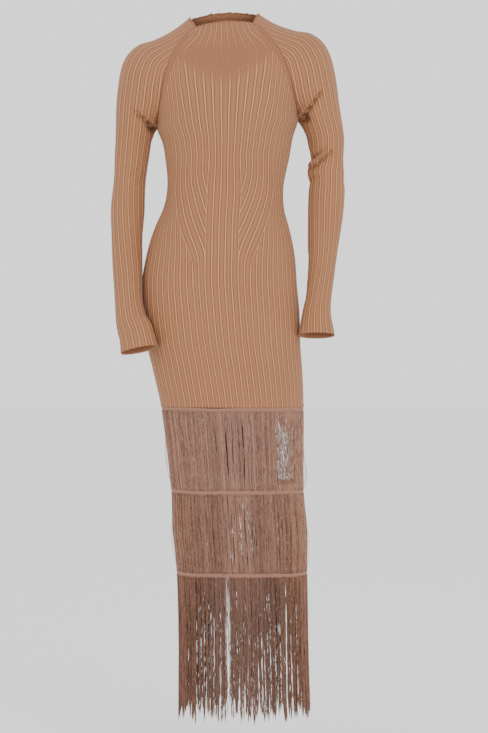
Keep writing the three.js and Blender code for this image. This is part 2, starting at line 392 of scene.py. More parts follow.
class ClothShell:
    """A thin closed shell on a fine grid of outer points, with a coarser lining layer behind it."""

    def __init__(self, name: str, closed_from: int, stride: int = 3) -> None:
        """Start a shell.

        Args:
            name: Name of the piece.
            closed_from: Grid row from which the rows are rings.
            stride: How many outer steps one step of the inner layer spans.
        """
        self.name = name
        self.closed_from = closed_from
        self.stride = stride

    def outwards(self, grid: np.ndarray, level_edges: np.ndarray) -> np.ndarray:
        """Find the outward direction at each grid point.

        Args:
            grid: Outer points, rows by columns.
            level_edges: For each row, whether its end directions are level and straight to the side.

        Returns:
            Unit vectors.
        """
        across = np.gradient(grid, axis=1)
        ring = slice(self.closed_from, None)
        wrapped = grid[ring, 1] - grid[ring, -2]
        across[ring, 0] = across[ring, -1] = wrapped
        normal = np.cross(np.gradient(grid, axis=0), across)
        for end in (0, -1):
            normal[level_edges, end, 1] = 0.0
        normal /= np.linalg.norm(normal, axis=2, keepdims=True)
        centre = grid.mean(axis=1, keepdims=True)
        if np.sum(normal * (grid - centre)) < 0:
            normal = -normal
        return normal

    def build(
        self, outer: np.ndarray, inward: np.ndarray, phase: tuple[np.ndarray, np.ndarray], run: np.ndarray,
        weight: np.ndarray, shade: np.ndarray | None = None,
    ) -> bpy.types.Object:
        """Make the shell's mesh.

        Args:
            outer: Outer points in millimetres, rows by columns.
            inward: The wall's inward offset at each, in millimetres.
            phase: Rib count at the left and at the right of each grid cell, rows by cells.
            run: Length along the cloth at each row, in metres.
            weight: How strongly the ribs show at each point, from 0 to 1.
            shade: How deep each point lies in a fold, from 0 to 1, from which the knit paints shade in the
                folds.

        Returns:
            The new object.
        """
        rows, columns = outer.shape[:2]
        last, step = columns - 1, self.stride
        coarse_rows, coarse_last = (rows - 1) // step, last // step

        def out(r: int, c: int) -> int:
            """Number the outer point of a grid row and column."""
            return r * columns + (c % last if r >= self.closed_from else c)

        def into(r: int, c: int) -> int:
            """Number the lining point of a coarse row and column."""
            c = c % coarse_last if r * step >= self.closed_from else c
            return rows * columns + r * (coarse_last + 1) + c

        lining = (outer + inward)[::step, ::step]
        points = np.concatenate([outer.reshape(-1, 3), lining.reshape(-1, 3)]) * MM
        low, high = phase
        faces, coords = [], []
        for r in range(rows - 1):
            for c in range(last):
                faces.append((out(r, c), out(r + 1, c), out(r + 1, c + 1), out(r, c + 1)))
                coords += [
                    (low[r, c], run[r]), (low[r + 1, c], run[r + 1]),
                    (high[r + 1, c], run[r + 1]), (high[r, c], run[r]),
                ]
        for r in range(coarse_rows):
            for c in range(coarse_last):
                faces.append((into(r, c), into(r, c + 1), into(r + 1, c + 1), into(r + 1, c)))
                left, right = low[r * step, c * step], high[r * step, (c + 1) * step - 1]
                coords += [
                    (left, run[r * step]), (right, run[r * step]),
                    (right, run[(r + 1) * step]), (left, run[(r + 1) * step]),
                ]
            if r * step < self.closed_from:
                for c, coarse_c in ((0, 0), (last, coarse_last)):
                    edge = [out(r * step + k, c) for k in range(step + 1)]
                    face = edge + [into(r + 1, coarse_c), into(r, coarse_c)]
                    faces.append(tuple(face if c else face[::-1]))
                    coords += [(0.0, run[r * step])] * len(face)
        for r, coarse_r in ((0, 0), (rows - 1, coarse_rows)):
            for c in range(coarse_last):
                edge = [out(r, c * step + k) for k in range(step + 1)]
                face = edge + [into(coarse_r, c + 1), into(coarse_r, c)]
                faces.append(tuple(face[::-1] if r else face))
                coords += [(0.0, run[r])] * len(face)
        values = {"rib": (weight, rows * columns)}
        # Fold depths, which the knit turns into painted shade
        if shade is not None:
            values["fold"] = (shade, rows * columns)
        return make_mesh(self.name, points, faces, coords, values)


def make_mesh(
    name: str,
    points: np.ndarray,
    faces: list[tuple[int, ...]],
    coords: list[tuple[float, float]],
    attributes: dict[str, tuple[np.ndarray, int]] | None = None,
) -> bpy.types.Object:
    """Make an object from plain mesh data, with every face pointing out.

    Args:
        name: Name of the object.
        points: Points in metres.
        faces: Point numbers of each face.
        coords: Surface coordinates of each face corner.
        attributes: Named point values, with the number of points that they cover.

    Returns:
        The new object, linked to the scene and riding on the garment's body.
    """
    mesh = bpy.data.meshes.new(name)
    mesh.from_pydata(points.tolist(), [], faces)
    layer = mesh.uv_layers.new(name="cloth")
    layer.data.foreach_set("uv", np.array(coords, np.float32).ravel())
    for label, (values, count) in (attributes or {}).items():
        full = np.zeros(len(points), np.float32)
        full[:count] = values.ravel()
        mesh.attributes.new(label, "FLOAT", "POINT").data.foreach_set("value", full)
    work = bmesh.new()
    work.from_mesh(mesh)
    bmesh.ops.delete(work, geom=[v for v in work.verts if not v.link_faces], context="VERTS")
    bmesh.ops.remove_doubles(work, verts=work.verts, dist=1e-6)
    if work.calc_volume(signed=True) < 0:
        bmesh.ops.reverse_faces(work, faces=work.faces)
    work.to_mesh(mesh)
    work.free()
    mesh.shade_smooth()
    obj = bpy.data.objects.new(name, mesh)
    bpy.context.scene.collection.objects.link(obj)
    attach(obj, BODY)
    return obj


class Value:
    """A number socket that can be used in sums, each of which adds a Math node to its tree."""

    def __init__(self, tree: "Tree", socket: bpy.types.NodeSocket) -> None:
        """Wrap a socket of a tree."""
        self.tree = tree
        self.socket = socket

    def sum(self, operation: str, *others: "Value | float", swap: bool = False) -> "Value":
        """Apply a Math node.

        Args:
            operation: The node's operation.
            others: Its other inputs.
            swap: Whether the first two inputs change places.

        Returns:
            The result.
        """
        inputs = [self, *others]
        if swap:
            inputs[0], inputs[1] = inputs[1], inputs[0]
        node = self.tree.node("ShaderNodeMath", {"operation": operation}, dict(enumerate(inputs)))
        return Value(self.tree, node.outputs[0])

    def __add__(self, other: "Value | float") -> "Value":
        """Add."""
        return self.sum("ADD", other)

    __radd__ = __add__

    def __sub__(self, other: "Value | float") -> "Value":
        """Subtract."""
        return self.sum("SUBTRACT", other)

    def __rsub__(self, other: "Value | float") -> "Value":
        """Subtract this from the other."""
        return self.sum("SUBTRACT", other, swap=True)

    def __mul__(self, other: "Value | float") -> "Value":
        """Multiply."""
        return self.sum("MULTIPLY", other)

    __rmul__ = __mul__

    def fraction(self) -> "Value":
        """Keep the part after the point."""
        return self.sum("FRACT")

    def size(self) -> "Value":
        """Drop the sign."""
        return self.sum("ABSOLUTE")

    def wave(self, count: float) -> "Value":
        """Make a wave from 0 to 1, with its crests where this times count is whole."""
        return (self * (2 * math.pi * count)).sum("COSINE") * 0.5 + 0.5

    def smooth(self, low: float, high: float) -> "Value":
        """Rise smoothly from 0 to 1.

        Args:
            low: Value at which the rise starts.
            high: Value at which it ends.

        Returns:
            The share of the rise.
        """
        settings = {"interpolation_type": "SMOOTHSTEP"}
        inputs = {"Value": self, "From Min": low, "From Max": high}
        node = self.tree.node("ShaderNodeMapRange", settings, inputs)
        return Value(self.tree, node.outputs["Result"])


class Tree:
    """The nodes of one material, round a single Principled shader."""

    def __init__(self, name: str) -> None:
        """Start a material with nothing but its shader and output."""
        self.material = bpy.data.materials.new(name)
        self.material.use_nodes = True
        self.nodes = self.material.node_tree.nodes
        self.nodes.clear()
        self.shader = self.nodes.new("ShaderNodeBsdfPrincipled")
        output = self.nodes.new("ShaderNodeOutputMaterial")
        self.material.node_tree.links.new(self.shader.outputs["BSDF"], output.inputs["Surface"])

    def node(self, kind: str, settings: dict[str, object], inputs: dict[object, object]) -> bpy.types.Node:
        """Add a node.

        Args:
            kind: Its type.
            settings: Its properties.
            inputs: A Value, a socket or a constant for each input's name or number.

        Returns:
            The node.
        """
        made = self.nodes.new(kind)
        for key, setting in settings.items():
            setattr(made, key, setting)
        for key, given in inputs.items():
            self.feed(made.inputs[key], given)
        return made

    def feed(self, socket: bpy.types.NodeSocket, given: object) -> None:
        """Give an input what it reads.

        Args:
            socket: The input.
            given: A Value or a socket to link to it, or a constant.
        """
        if isinstance(given, Value):
            given = given.socket
        if isinstance(given, bpy.types.NodeSocket):
            self.material.node_tree.links.new(given, socket)
        else:
            socket.default_value = given

    def cloth(self) -> tuple[Value, Value]:
        """Read the piece's own surface coordinates.

        Returns:
            The count across the piece, and the run along it.
        """
        uv = self.node("ShaderNodeUVMap", {"uv_map": "cloth"}, {})
        parts = self.node("ShaderNodeSeparateXYZ", {}, {0: uv.outputs[0]})
        return Value(self, parts.outputs[0]), Value(self, parts.outputs[1])

    def attribute(self, name: str) -> Value:
        """Read a named point value of the piece."""
        return Value(self, self.node("ShaderNodeAttribute", {"attribute_name": name}, {}).outputs["Fac"])

    def noise(self, scale: float, detail: float = 2.0) -> Value:
        """Make soft noise over the piece's place.

        Args:
            scale: Its fineness per metre.
            detail: How many finer layers it has.

        Returns:
            Values about one half.
        """
        place = self.node("ShaderNodeTexCoord", {}, {}).outputs["Object"]
        made = self.node("ShaderNodeTexNoise", {}, {"Vector": place, "Scale": scale, "Detail": detail})
        return Value(self, made.outputs["Fac"])

    def dashes(self, across: Value, along: Value) -> Value:
        """Make soft noise in the cloth's own directions.

        Args:
            across: Place across the cloth, in widths of a dash.
            along: Place along it, in lengths of a dash.

        Returns:
            Values about one half.
        """
        place = self.node("ShaderNodeCombineXYZ", {}, {0: across, 1: along}).outputs[0]
        made = self.node("ShaderNodeTexNoise", {}, {"Vector": place, "Scale": 1.0, "Detail": 1.5})
        return Value(self, made.outputs["Fac"])

    def mix(self, factor: Value, first: object, second: object) -> bpy.types.NodeSocket:
        """Mix two colours.

        Args:
            factor: Share of the second.
            first: A colour or a colour socket.
            second: A colour or a colour socket.

        Returns:
            The mixed colour's socket.
        """
        made = self.node("ShaderNodeMix", {"data_type": "RGBA"}, {0: factor, 6: first, 7: second})
        return made.outputs[2]

    def colour(self, factor: Value, first: object, second: object) -> None:
        """Colour the surface by mixing two colours, by the share of the second."""
        self.feed(self.shader.inputs["Base Color"], self.mix(factor, first, second))

    def bump(self, height: Value, distance: float, strength: float) -> None:
        """Turn a height into the shader's surface relief.

        Args:
            height: The height, from 0 to 1.
            distance: What a height of 1 stands for, in metres.
            strength: How strongly it shows.
        """
        inputs = {"Height": height, "Distance": distance, "Strength": strength}
        made = self.node("ShaderNodeBump", {}, inputs)
        self.feed(self.shader.inputs["Normal"], made.outputs[0])

    def finish(self, roughness: float, sheen: float) -> bpy.types.Material:
        """Set the constant parts of a cloth finish.

        Args:
            roughness: Roughness of the surface.
            sheen: Weight of the soft fibre sheen.

        Returns:
            The material.
        """
        self.shader.inputs["Roughness"].default_value = roughness
        self.shader.inputs["Specular IOR Level"].default_value = 0.25
        self.shader.inputs["Sheen Weight"].default_value = sheen
        self.shader.inputs["Sheen Roughness"].default_value = 0.45
        return self.material


def srgb(red: float, green: float, blue: float) -> tuple[float, float, float, float]:
    """Turn a display colour into a linear one.

    Args:
        red: Its red, from 0 to 255.
        green: Its green.
        blue: Its blue.

    Returns:
        The linear colour, from 0 to 1, with full cover.
    """
    parts = (v / 255 for v in (red, green, blue))
    linear = [v / 12.92 if v <= 0.04045 else ((v + 0.055) / 1.055) ** 2.4 for v in parts]
    return (linear[0], linear[1], linear[2], 1.0)


@dataclass(frozen=True)
class RibKnit:
    """Fine knit with raised ribs, wales and dark flecks, painted highlights on the rib crests, and painted
    shade beside the ribs and in folds.
    """

    name: str = "rib_knit"
    ground: tuple[float, float, float, float] = srgb(145, 98, 69)
    # The darker tone that the ground is mixed towards, both for the knit's own flecks, clouding and wale
    # gaps and as painted shade beside the ribs and in the folds
    dark_tone_and_painted_shade: tuple[float, float, float, float] = srgb(88, 52, 34)
    # The lighter tone of a rib's crest, a painted highlight, which the wales also lighten towards
    rib: tuple[float, float, float, float] = srgb(186, 133, 91)
    wales: float = 4.0
    stitch_rows: float = 520.0  # to a metre
    # How strongly each of these darkens the ground: the gaps between wales, painted shade beside each rib,
    # dark flecks, clouding, and painted shade in the folds
    wale_shade: float = 0.16
    rib_flank_painted_shade: float = 0.42
    fleck_shade: float = 0.34
    cloud_shade: float = 0.24
    fold_painted_shade: float = 0.9
    # How strongly the wales lighten it, and how much of that lightening the painted shade of a fold takes
    # away
    wale_light: float = 0.42
    fold_painted_shade_on_light: float = 0.8

    def build(self) -> bpy.types.Material:
        """Make the material."""
        tree = Tree(self.name)
        count, run = tree.cloth()
        strength = tree.attribute("rib")
        from_rib = (count.fraction() - 0.5).size()
        # Painted highlight along the crest of each raised rib
        rib = (1.0 - from_rib.smooth(0.06, 0.12)) * strength
        # Painted shade on both sides of each raised rib
        painted_flank_shade = from_rib.smooth(0.08, 0.14) * (1.0 - from_rib.smooth(0.2, 0.3)) * strength
        wale = count.wave(self.wales)
        stitch = run.wave(self.stitch_rows)
        flecks = tree.dashes(count * 8.0, run * 200.0).smooth(0.55, 0.72) * (1.0 - rib)
        cloudy = tree.noise(9.0, 3.0) - 0.5
        # How deep the cloth lies in a fold, read to paint shade in the folds
        fold = tree.attribute("fold")
        # Darkening from the knit's own marks and from painted shade beside the ribs and in the folds
        dark = (1.0 - wale) * self.wale_shade + painted_flank_shade * self.rib_flank_painted_shade + flecks * self.fleck_shade
        dark = dark + cloudy * self.cloud_shade + fold * self.fold_painted_shade
        ground = tree.mix(dark, self.ground, self.dark_tone_and_painted_shade)
        # Lighten towards the rib tone on the wales, and as a painted highlight on the rib crests, less
        # where painted fold shade lies
        light = wale * strength * (1.0 - painted_flank_shade) * self.wale_light + rib
        tree.colour(light * (1.0 - fold * self.fold_painted_shade_on_light), ground, self.rib)
        height = wale * 0.4 + stitch * 0.12 + rib * 0.5 - flecks * 0.25 + tree.noise(900.0) * 0.2
        tree.bump(height, 0.0007, 0.6)
        return tree.finish(0.86, 0.1)


@dataclass(frozen=True)
class HeaderTape:
    """Narrow close-knit tape with fine upright loops below a lighter rolled edge."""

    name: str = "header_tape"
    light: tuple[float, float, float, float] = srgb(154, 113, 95)
    dark: tuple[float, float, float, float] = srgb(138, 99, 82)
    # How strongly each of these darkens it, and the share taken off for the light edge
    lower_shade: float = 0.62
    loop_shade: float = 0.3
    fuzz_shade: float = 0.5
    lightness: float = 0.2

    def build(self) -> bpy.types.Material:
        """Make the material."""
        tree = Tree(self.name)
        count, run = tree.cloth()
        loops = count.wave(1.0)
        lower = run.smooth(0.26, 0.42)
        fuzz = tree.noise(500.0)
        shade = lower * self.lower_shade + loops * lower * self.loop_shade + fuzz * self.fuzz_shade
        tree.colour(shade - self.lightness, self.light, self.dark)
        tree.bump(loops * 0.5 + fuzz * 0.5, 0.0007, 0.8)
        return tree.finish(0.9, 0.12)


@dataclass(frozen=True)
class FringeYarn:
    """Soft twisted yarn, each thread a little lighter or darker than its neighbours."""

    name: str
    light: tuple[float, float, float, float]
    dark: tuple[float, float, float, float]
    # How strongly each of these darkens it, how far light flecks, partly lint and partly painted highlights
    # on the twist, lighten it, and the shade it starts from
    thread_shade: float = 0.7
    twist_shade: float = 0.1
    cloud_shade: float = 0.3
    lint_and_highlight_strength: float = 0.45
    darkness: float = 0.1

    def build(self) -> bpy.types.Material:
        """Make the material."""
        tree = Tree(self.name)
        thread, run = tree.cloth()
        twist = (run * 260.0 + thread * 7.0).wave(1.0)
        # Light flecks along the threads, partly lint and partly painted highlights on the twist
        lint_and_highlight = tree.dashes(thread * 300.0, run * 170.0).smooth(0.4, 0.7)
        shade = thread * self.thread_shade + twist * self.twist_shade - lint_and_highlight * self.lint_and_highlight_strength
        shade = shade + tree.noise(45.0) * self.cloud_shade + self.darkness
        tree.colour(shade, self.light, self.dark)
        tree.bump(twist, 0.0002, 0.4)
        return tree.finish(0.66, 0.15)


@dataclass(frozen=True)
class Plain:
    """A plain matt finish."""

    name: str
    colour: tuple[float, float, float, float]

    def build(self) -> bpy.types.Material:
        """Make the material."""
        tree = Tree(self.name)
        tree.shader.inputs["Base Color"].default_value = self.colour
        return tree.finish(1.0, 0.0)


def dress_piece(
    obj: bpy.types.Object, material: bpy.types.Material, node: str
) -> bpy.types.Object:
    """Give a finished piece its material and hide the CAD node that it stands in for.

    Args:
        obj: The piece.
        material: Its material.
        node: The CAD node that it stands for.

    Returns:
        The piece.
    """
    obj.data.materials.clear()
    obj.data.materials.append(material)
    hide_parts(node)
    LOG.info("%s: %d faces", obj.name, len(obj.data.polygons))
    return obj


def uneven(points: np.ndarray) -> np.ndarray:
    """Give the slow unevenness of worn knit.

    Args:
        points: Points in millimetres.

    Returns:
        How far the cloth stands out at each, in millimetres.
    """
    x, y, z = np.moveaxis(points, -1, 0)
    return (
        0.5 * np.sin(z / 31 + x / 47 + 0.6) * np.sin(x / 39 - z / 71)
        + 0.4 * np.sin(z / 17 - y / 29 + 1.9) * np.sin(x / 53 + y / 31)
    )


@dataclass(frozen=True)
class BodyPanel:
    """The front or back of the knit, where ribs end on the middle gore and others begin beside it."""

    facing: Facing
    form: WornForm
    hem: float = -724.0
    yoke_steps: int = 57
    trunk_steps: int = 141
    rib_lift: float = 0.85
    unevenness: float = 0.7
    edge_ridge: float = 0.45  # where the ribs of the yoke meet its plain edge
    hem_flare: float = 0.9
    cells: tuple[int, int, int, int] = (21, 48, 87, 6)  # half gore, slanting ribs, outer ribs, plain edge
    gore_counts: tuple[float, float] = (-2.5, 2.5)
    edge_counts: tuple[float, float] = (16.85, 17.1)
    yoke_middle: float = -2.0
    # Distances from the middle, and the heights there at which the ribs start to show in the yoke
    arch: tuple[tuple[float, ...], tuple[float, ...]] = (
        (0, 22, 46, 68, 91, 130), (-62, -58, -50, -38, -22, -10)
    )
    # Distances from the middle, and the heights there over which they fade in
    ramp: tuple[tuple[float, ...], tuple[float, ...]] = ((0, 91), (64, 26))
    layout: SmoothTable = SmoothTable(
        # Half width of the gore and distance of the bend line, rib counts just outside the gore and
        # on both sides of the bend line, count at the last rib, plain edge, and shift of the middle
        ("height", "gore", "bend", "slant_in", "slant_out", "beyond_in", "edge", "plain", "middle"),
        (
            (33, 24, 45, 2.5, 4.5, 4.5, 5.5, 5, 0), (14, 28, 52, 2.5, 4.5, 4.5, 5.4, 9, 0),
            (-2, 34, 63, 2.5, 4.3, 4.3, 5.2, 10, 0), (-16, 39, 73, 2.5, 4.2, 4.2, 5.0, 10, 0),
            (-26, 42, 80, 2.5, 4.4, 4.4, 5.7, 10, 0), (-40, 44, 85, 2.5, 4.8, 4.8, 6.7, 10, 0),
            (-62, 44, 88, 2.5, 5.2, 5.2, 7.8, 10, -0.5), (-91, 41.5, 88, 2.5, 5.55, 5.55, 9.3, 9.5, -2),
            (-121, 39, 88, 2.5, 5.85, 5.85, 11.3, 8, -3), (-145, 37.2, 91, 2.5, 6.5, 6.5, 14, 5, -4),
            (-160, 36, 95, 2.5, 7, 7, 16, 3, -4.4), (-175, 34.5, 99, 2.5, 7.8, 7.8, 16.5, 1.2, -4.4),
            (-190, 33, 100.5, 2.5, 8.5, 8.5, 16.5, 1.2, -4.3),
            (-210, 31.5, 97.5, 2.5, 8.5, 8.5, 16.5, 1.2, -4.4),
            (-230, 30.2, 94.6, 2.5, 8.5, 8.5, 16.5, 1.2, -4.5),
            (-258, 31, 95, 2.5, 8.5, 8.5, 16.5, 1.2, -3.3),
            (-294, 33.5, 96, 3.35, 8.5, 8.5, 16.5, 1.2, -1.2),
            (-332, 33, 92, 4.26, 8.5, 7.5, 16.5, 1.2, 0.5),
            (-370, 32.5, 83, 5.2, 8.5, 6.5, 16.5, 1.2, 1.8), (-404, 32.5, 71, 6.1, 8.5, 5.5, 16.5, 1.2, 3),
            (-426, 32.5, 62, 6.45, 8.5, 4.9, 16.5, 1.2, 3.5), (-446, 32.5, 57, 6.5, 8.5, 4.5, 16.5, 1.2, 4),
            (-500, 32.5, 56, 6.5, 8.5, 4.5, 16.5, 1.2, 6.3), (-560, 32, 55, 6.5, 8.5, 4.5, 16.5, 1.2, 7),
            (-724, 29, 52, 6.5, 8.5, 4.5, 16.5, 1.2, 6),
        ),
    )

    def rows(self) -> list[tuple[float, np.ndarray, np.ndarray, float]]:
        """Trace the panel from the neck edge to the hem.

        Returns:
            For each row, its height for the rib layout, line, distances to the side and share of the yoke.
        """
        found = []
        for share in np.linspace(0, 1, self.yoke_steps + 1)[:-1]:
            line, x = self.form.yoke_body_line(float(share), self.facing)
            found.append((self.form.yoke.row(share)["seam_front_z"], line, x, float(share)))
        for height in np.linspace(UNDERARM, self.hem, self.trunk_steps + 1):
            line, x = self.form.trunk_line(float(height), self.facing)
            found.append((float(height), line, x, 1.0))
        return found

    def divide(
        self, height: float, line: np.ndarray, x: np.ndarray
    ) -> tuple[np.ndarray, np.ndarray, np.ndarray]:
        """Divide a row into cells that follow the ribs.

        Args:
            height: The row's height for the rib layout.
            line: Its points.
            x: Their distances to the side.

        Returns:
            Lengths of the cell edges along the row, and the rib counts at each cell's left and right.
        """
        r = self.layout.row(height)
        whole = lengths_along(line)
        low, high = SEAM_TRIM, whole[-1] - SEAM_TRIM
        knots = [low, low + r["plain"]]
        knots += list(np.interp([r["middle"] - r["bend"], r["middle"] - r["gore"]], x, whole))
        knots += list(np.interp([r["middle"] + r["gore"], r["middle"] + r["bend"]], x, whole))
        knots += [high - r["plain"], high]
        gore, slanting, beyond, plain = self.cells
        cells = [plain, beyond, slanting, 2 * gore, slanting, beyond, plain]
        right_half = [(r["slant_in"], r["slant_out"]), (r["beyond_in"], r["edge"]), self.edge_counts]
        counts = [(-high_count, -low_count) for low_count, high_count in reversed(right_half)]
        counts += [self.gore_counts] + right_half
        edges, left, right = [knots[0]], [], []
        for k, number in enumerate(cells):
            edges += list(np.linspace(knots[k], knots[k + 1], number + 1)[1:])
            count = np.linspace(*counts[k], number + 1)
            left += list(count[:-1])
            right += list(count[1:])
        return np.array(edges), np.array(left), np.array(right)

    def strength(self, grid: np.ndarray, shares: np.ndarray, spread: np.ndarray) -> np.ndarray:
        """Say how strongly the ribs show.

        Args:
            grid: Points of the panel.
            shares: Each row's share of the yoke.
            spread: Ribs to each cell of the grid.

        Returns:
            Values from 0, on the plain yoke, to 1.
        """
        pitch = np.linalg.norm(np.diff(grid, axis=1), axis=2) / np.maximum(spread, 1e-6)
        pitch = np.concatenate([pitch, pitch[:, -1:]], axis=1)
        in_yoke = shares[:, None] < 1
        x = grid[..., 0] - self.yoke_middle
        z = grid[..., 2] - YOKE_LEAN * x * in_yoke
        arch = np.interp(np.abs(x), *self.arch)
        ramp = np.interp(np.abs(x), *self.ramp)
        shown = 1 - smooth_step(-1.0, 0.1, (z - arch) / ramp)
        neck = 0.6 * smooth_step(-34, 26, z)
        shown = np.maximum(shown, neck) * smooth_step(3.0, 6.0, pitch)
        plain = self.cells[3]
        band = np.ones(grid.shape[1])
        band[:plain] = band[-plain:] = 0.0
        return shown * np.where(in_yoke, band[None, :], 1.0)

    def build(self, material: bpy.types.Material) -> bpy.types.Object:
        """Model and dress the panel.

        Args:
            material: The knit.

        Returns:
            The finished piece.
        """
        rows = self.rows()
        divided = [self.divide(height, line, x) for height, line, x, _ in rows]
        grid = np.array([points_at(line, edges) for (_, line, _, _), (edges, _, _) in zip(rows, divided)])
        low = np.array([left for _, left, _ in divided])
        high = np.array([right for _, _, right in divided])
        shares = np.array([share for *_, share in rows])
        name = f"{self.facing.name.lower()}_knit"
        shell = ClothShell(name, closed_from=len(rows))
        normal = shell.outwards(grid, shares >= 1)
        weight = self.strength(grid, shares, high - low)
        crest = np.maximum(
            rib_profile(np.concatenate([low, high[:, -1:]], axis=1)),
            rib_profile(np.concatenate([low[:, :1], high], axis=1)),
        )
        push = crest * weight * self.rib_lift + uneven(grid) * self.unevenness
        sink_seams(push)
        plain = self.cells[3]
        for column in (plain, -plain - 1):
            push[shares < 1, column] += self.edge_ridge
        push += self.hem_flare * smooth_step(self.hem + 7, self.hem + 1, grid[..., 2])
        outer = grid + normal * push[..., None]
        middle = lengths_along(grid[:, grid.shape[1] // 2]) * MM
        obj = shell.build(outer, -normal * CLOTH_WALL / MM, (low, high), middle, weight)
        return dress_piece(obj, material, self.facing.name.lower())


def rib_profile(count: np.ndarray) -> np.ndarray:
    """Give the height of the ribs, from 0 to 1, where a rib stands at each whole count and a half."""
    return np.exp(-(((np.mod(count, 1.0) - 0.5) / 0.12) ** 2))


@dataclass(frozen=True)
class RaglanSleeve:
    """A long raglan sleeve whose ribs follow the arm and end on the raglan seam."""

    side: Side
    form: WornForm
    rounds: SmoothTable  # height, ribs round the arm, and how far they are turned
    folds: tuple[Fold, ...] = ()
    pitches: SmoothTable = SmoothTable(
        ("share", "pitch"), ((0, 10.6), (0.32, 12), (0.5, 14), (0.68, 15.8), (0.85, 14.6), (1, 12.3))
    )
    yoke_steps: int = 99
    arm_steps: int = 154
    cells: int = 162
    rib_lift: float = 0.85
    unevenness: float = 0.8
    faded_ribs: float = 0.6  # how strongly the ribs show at the neck edge
    eased_reach: float = 16.0  # rows and columns over which the turn at the underarm is rounded off
    eased_rounds: int = 60
    fold_depth_of_darkest_painted_shade: float = 7.5  # depth in mm at which a fold's painted shade is darkest

    def arm_ring(self, height: float) -> np.ndarray:
        """Trace a ring round the arm, square to the arm's line once clear of the underarm.

        Args:
            height: Height of its middle.

        Returns:
            The points, from the underarm line over the front and back to it.
        """
        arm = ARMS[self.side]
        r, above, below = (arm.row(h) for h in (height, height + 4, height - 4))
        drop = above["height"] - below["height"]
        free = float(smooth_step(0, 90, arm.rows[0][0] - height))
        level = self.form.lean.row(UNDERARM)["slope"]
        slope_x = level + ((below["x"] - above["x"]) / drop - level) * free
        slope_y = (below["y"] - above["y"]) / drop * free
        angle = np.pi * np.linspace(-1, 1, LINE_SAMPLES)
        dx = self.side.value * r["half_width"] * np.cos(angle)
        dy = r["half_depth"] * np.sin(angle)
        return np.stack([r["x"] + dx, r["y"] + dy, height + slope_x * dx + slope_y * dy], axis=-1)

    def lines(self) -> list[np.ndarray]:
        """Trace the sleeve from the neck edge to the cuff.

        Returns:
            The points of each row.
        """
        shares = np.linspace(0, 1, self.yoke_steps + 1)
        top, cuff = ARMS[self.side].rows[0][0], ARMS[self.side].rows[-1][0]
        heights = np.linspace(top, cuff, self.arm_steps)
        yoke = [self.form.yoke_sleeve_line(float(share), self.side) for share in shares]
        return yoke + [self.arm_ring(float(height)) for height in heights]

    def divide(self, row: int, line: np.ndarray) -> tuple[np.ndarray, np.ndarray, np.ndarray]:
        """Divide a row evenly and count its ribs.

        Args:
            row: Its number.
            line: Its points.

        Returns:
            Lengths of the cell edges along the row, the rib count at each, and how strongly ribs show.
        """
        whole = lengths_along(line)
        share = row / self.yoke_steps
        trim = SEAM_TRIM if share < 1 else 0.0
        edges = np.linspace(trim, whole[-1] - trim, self.cells + 1)
        r = self.rounds.row(float(line[:, 2].mean()) if share > 1 else self.rounds.rows[0][0])
        if share < 1:
            pitch, turn = self.pitches.row(share)["pitch"], r["turn"] * share
            seen = smooth_step(1.0, 5.0, np.minimum(edges, whole[-1] - edges))
        else:
            pitch, turn, seen = whole[-1] / r["ribs"], r["turn"], np.ones(len(edges))
        return edges, (edges - whole[len(whole) // 2]) / pitch + turn + 0.5, seen

    def eased(self, grid: np.ndarray) -> np.ndarray:
        """Round off the turn from yoke to arm, away from the open edges.

        Args:
            grid: Values at every row and column.

        Returns:
            The smoothed values.
        """
        row, column = np.arange(len(grid)), np.arange(grid.shape[1])
        near = np.exp(-(((row - self.yoke_steps) / self.eased_reach) ** 2))
        inside = smooth_step(0, self.eased_reach, np.minimum(column, self.cells - column))
        share = (near[:, None] * inside[None, :])[1:-1]
        share = share if grid.ndim == 2 else share[..., None]
        for _ in range(self.eased_rounds):
            between = (grid[2:] + grid[:-2]) / 2
            moved = grid[1:-1] + 0.5 * share * (between - grid[1:-1])
            grid = np.concatenate([grid[:1], moved, grid[-1:]])
        return grid

    def build(self, material: bpy.types.Material) -> bpy.types.Object:
        """Model and dress the sleeve.

        Args:
            material: The knit.

        Returns:
            The finished piece.
        """
        lines = self.lines()
        divided = [self.divide(row, line) for row, line in enumerate(lines)]
        grid = self.eased(np.array([points_at(line, edges) for line, (edges, _, _) in zip(lines, divided)]))
        count = self.eased(np.array([counts for _, counts, _ in divided]))
        weight = np.array([seen for *_, seen in divided])
        top = self.yoke_steps // 2
        weight[:top] *= np.linspace(self.faded_ribs, 1.0, top)[:, None]
        name = f"sleeve_{self.side.name.lower()}_knit"
        shell = ClothShell(name, closed_from=self.yoke_steps)
        normal = shell.outwards(grid, np.zeros(len(grid), bool))
        push = rib_profile(count) * weight * self.rib_lift + uneven(grid) * self.unevenness
        sink_seams(push[: self.yoke_steps])
        folded = sum((fold.push(grid, normal) for fold in self.folds), np.zeros(grid.shape[:2]))
        push += folded
        outer = grid + normal * push[..., None]
        run = lengths_along(grid[:, grid.shape[1] // 2]) * MM
        # Painted shade in the grooves of the folds, darkest where they are deepest
        shade = smooth_step(0.0, self.fold_depth_of_darkest_painted_shade, -folded)
        phase = (count[:, :-1], count[:, 1:])
        obj = shell.build(outer, -normal * CLOTH_WALL / MM, phase, run, weight, shade)
        return dress_piece(obj, material, f"sleeve_{self.side.name.lower()}")


